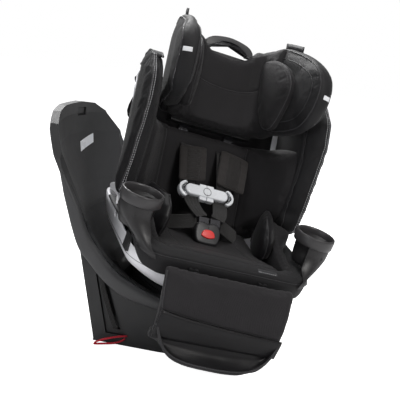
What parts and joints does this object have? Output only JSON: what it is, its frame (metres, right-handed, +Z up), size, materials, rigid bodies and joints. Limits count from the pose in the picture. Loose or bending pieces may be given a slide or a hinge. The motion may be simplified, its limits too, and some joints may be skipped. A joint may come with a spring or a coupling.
{
  "type": "convertible car seat",
  "caption": "Rotating convertible child car seat with reclining turntable base, padded shell, winged headrest, harness, cup holders and extended leg rest",
  "frame": {"origin": "centre line of the base on its flat underside, near the middle of its footprint", "axes": "+Z up, -Y toward the front of the vehicle, +Y toward the vehicle's seat back and the tall rear panel, +X to the right of the base when seen from the rear panel's back"},
  "size_m": [0.6289, 0.6496, 0.714],
  "materials": {
    "base_plastic": "fine-grained moulded black plastic",
    "band_plastic": "charcoal moulded plastic with a soft satin grain",
    "shell_plastic": "pale grey satin plastic",
    "clip_plastic": "smooth pale grey plastic",
    "red_plastic": "smooth red plastic",
    "steel": "brushed steel",
    "foam": "moulded energy-absorbing foam",
    "knit": "black knitted polyester over foam",
    "bolster_fabric": "black woven polyester over foam",
    "piping": "light grey piping fabric",
    "webbing": "ribbed black polyester webbing",
    "pad_fabric": "soft brushed dark fabric over thin foam",
    "red_webbing": "red polyester webbing",
    "rubber": "soft black rubber"
  },
  "bodies": {
    "base": {"base_plate": "base_plastic", "base_shell": "base_plastic", "rear_panel": "base_plastic", "side_band_left": "band_plastic", "side_band_right": "band_plastic", "belt_guides": "base_plastic", "recline_tracks": "base_plastic", "base_feet": "rubber", "base_screws": "steel", "blank_label": "clip_plastic", "panel_hook": "base_plastic", "anchor_strap": "red_webbing", "anchor_connectors": "steel"},
    "recline_handle": {"recline_handle": "base_plastic"},
    "carriage": {"carriage": "base_plastic", "bearing_ring": "clip_plastic"},
    "swivel_release": {"swivel_release": "steel"},
    "headrest": {"headrest_frame": "base_plastic", "headrest_pad": "knit", "headrest_wing_left": "bolster_fabric", "headrest_wing_right": "bolster_fabric", "head_insert_left": "knit", "head_insert_right": "knit"},
    "headrest_handle": {"headrest_handle": "band_plastic"},
    "chest_clip": {"clip_left_half": "clip_plastic", "clip_right_half": "clip_plastic"},
    "clip_button": {"clip_button": "clip_plastic"},
    "buckle_button": {"buckle_button": "red_plastic"},
    "cup_left": {"cup_holder_left": "band_plastic"},
    "cup_right": {"cup_holder_right": "band_plastic"},
    "leg_rest": {"leg_rest_board": "base_plastic", "leg_rest_pad": "knit", "leg_rest_flap": "knit"},
    "seat": {"turntable": "base_plastic", "hub_retainer": "steel", "turntable_screws": "steel", "seat_shell": "shell_plastic", "back_shell": "shell_plastic", "cup_mounts": "base_plastic", "headrest_rails": "steel", "seat_foam": "foam", "seat_cushion": "knit", "back_cushion": "knit", "seat_side_left": "knit", "seat_side_right": "knit", "bolster_left": "bolster_fabric", "bolster_right": "bolster_fabric", "bolster_cap_left": "piping", "bolster_cap_right": "piping", "hip_pad_left": "knit", "hip_pad_right": "knit", "shoulder_straps": "webbing", "lower_straps": "webbing", "lap_straps": "webbing", "shoulder_pad_left": "pad_fabric", "shoulder_pad_right": "pad_fabric", "crotch_strap": "webbing", "buckle_body": "base_plastic", "buckle_tongues": "steel", "leg_rest_guides": "base_plastic"}
  },
  "joints": [
    {"name": "recline", "type": "hinge", "parent": "base", "child": "carriage", "pos_m": [0, -0.02176, 0.27219], "axis": [1, 0, 0], "range_deg": [-10, 0]},
    {"name": "swivel", "type": "hinge", "parent": "carriage", "child": "seat", "pos_m": [0, 0.03, 0.079], "axis": [0, -0.2588, 0.9659], "range_deg": [-180, 180], "deforming": ["leg_rest_pad", "leg_rest_flap", "leg_rest_board"]},
    {"name": "recline_handle_pull", "type": "slide", "parent": "base", "child": "recline_handle", "axis": [0, -1, 0], "range_m": [0, 0.012], "stiffness_N_per_m": 300},
    {"name": "swivel_release_pull", "type": "slide", "parent": "carriage", "child": "swivel_release", "axis": [0, -0.2588, 0.9659], "range_m": [-0.006, 0], "stiffness_N_per_m": 400, "springref_m": 0.004},
    {"name": "headrest_height", "type": "slide", "parent": "seat", "child": "headrest", "axis": [0.3584, -0.0182, 0.9334], "range_m": [-0.015, 0.06]},
    {"name": "headrest_handle_pull", "type": "slide", "parent": "headrest", "child": "headrest_handle", "axis": [0.3584, -0.0182, 0.9334], "range_m": [0, 0.008], "stiffness_N_per_m": 400, "springref_m": -0.008},
    {"name": "chest_clip_height", "type": "slide", "parent": "seat", "child": "chest_clip", "axis": [0.6212, 0.1988, 0.758], "range_m": [-0.018, 0]},
    {"name": "clip_button_press", "type": "slide", "parent": "chest_clip", "child": "clip_button", "axis": [0.5773, 0.538, -0.6142], "range_m": [0, 0.003], "stiffness_N_per_m": 800, "springref_m": -0.001},
    {"name": "buckle_button_press", "type": "slide", "parent": "seat", "child": "buckle_button", "axis": [0.6683, 0.5627, -0.4866], "range_m": [0, 0.004], "stiffness_N_per_m": 800, "springref_m": -0.001},
    {"name": "cup_left_lift", "type": "slide", "parent": "seat", "child": "cup_left", "axis": [0, -0.2588, 0.9659], "range_m": [0, 0.06]},
    {"name": "cup_right_lift", "type": "slide", "parent": "seat", "child": "cup_right", "axis": [0, -0.2588, 0.9659], "range_m": [0, 0.06]},
    {"name": "leg_rest_retract", "type": "slide", "parent": "seat", "child": "leg_rest", "axis": [0, -0.2588, 0.9659], "range_m": [0, 0.03]}
  ]
}
